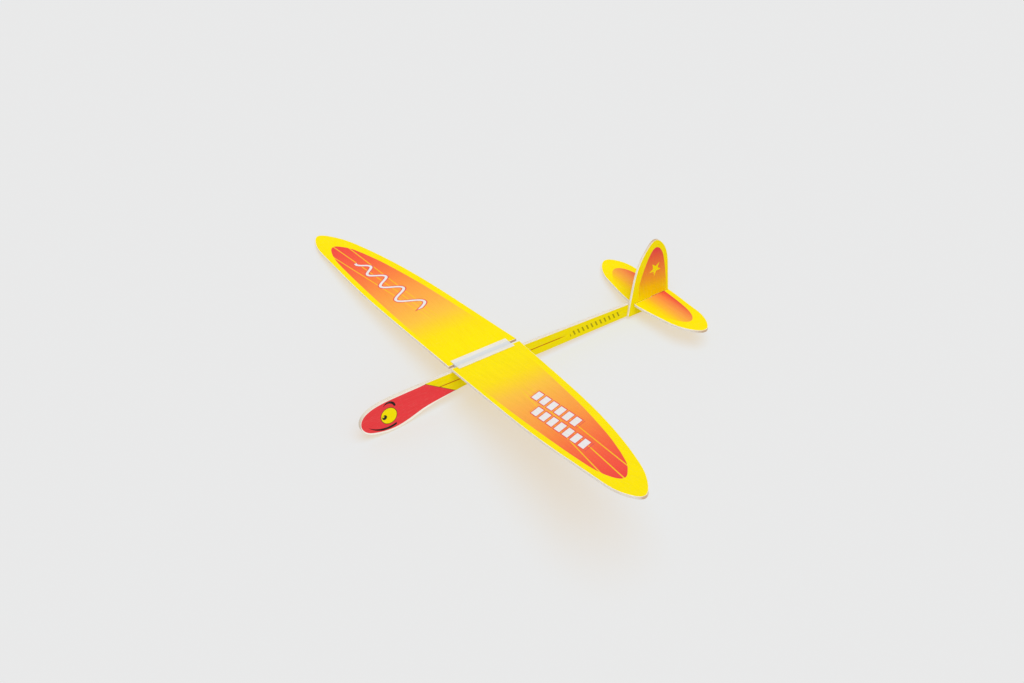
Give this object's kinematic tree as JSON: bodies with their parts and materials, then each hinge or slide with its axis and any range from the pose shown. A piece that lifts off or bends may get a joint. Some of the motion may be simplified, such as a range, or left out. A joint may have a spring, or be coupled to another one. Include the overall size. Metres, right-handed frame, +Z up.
{
  "type": "hand-launch glider",
  "caption": "Hand-thrown free-flight glider of printed balsa sheet: upright flat fuselage, elliptical wing halves in a sliding plastic holder, slot-on tailplane and fin.",
  "frame": {"origin": "on the ground, under the middle of the overall length and width, with the glider lying as it rests: on its belly, the rear end of its boom and its starboard wing tip", "axes": "+X port, level, towards the raised left wing tip; +Y aft, from the nose to the tail; +Z up"},
  "size_m": [0.4121, 0.2485, 0.0792],
  "materials": {
    "fuselage_sheet": "balsa printed yellow with a red head, bare pale edges, satin ink",
    "fin_sheet": "balsa printed yellow fading to red at the top, bare pale edges, satin ink",
    "tailplane_sheet": "balsa printed yellow with orange to red panels, bare pale edges, satin ink",
    "wing_sheet": "balsa printed yellow with orange to red panels, bare pale edges, satin ink",
    "holder_plastic": "natural translucent moulded plastic, satin",
    "weight_steel": "plain punched steel disc"
  },
  "bodies": {
    "airframe": {"fuselage": "fuselage_sheet", "nose_weight": "weight_steel", "fin": "fin_sheet"},
    "holder": {"wing_holder": "holder_plastic"},
    "port_wing": {"wing_port": "wing_sheet"},
    "starboard_wing": {"wing_starboard": "wing_sheet"},
    "tail": {"tailplane": "tailplane_sheet"}
  },
  "joints": [
    {"name": "wing_trim_slide", "type": "slide", "parent": "airframe", "child": "holder", "axis": [0.0091, 0.9988, -0.0484], "range_m": [-0.012, 0.006]},
    {"name": "wing_port_pull", "type": "slide", "parent": "holder", "child": "port_wing", "axis": [0.9654, 0.0039, 0.2606], "range_m": [0, 0.004]},
    {"name": "wing_starboard_pull", "type": "slide", "parent": "holder", "child": "starboard_wing", "axis": [-0.9943, 0.0039, -0.1065], "range_m": [0, 0.004]},
    {"name": "tailplane_pull", "type": "slide", "parent": "airframe", "child": "tail", "axis": [0.0091, 0.9988, -0.0484], "range_m": [0, 0.015]}
  ]
}
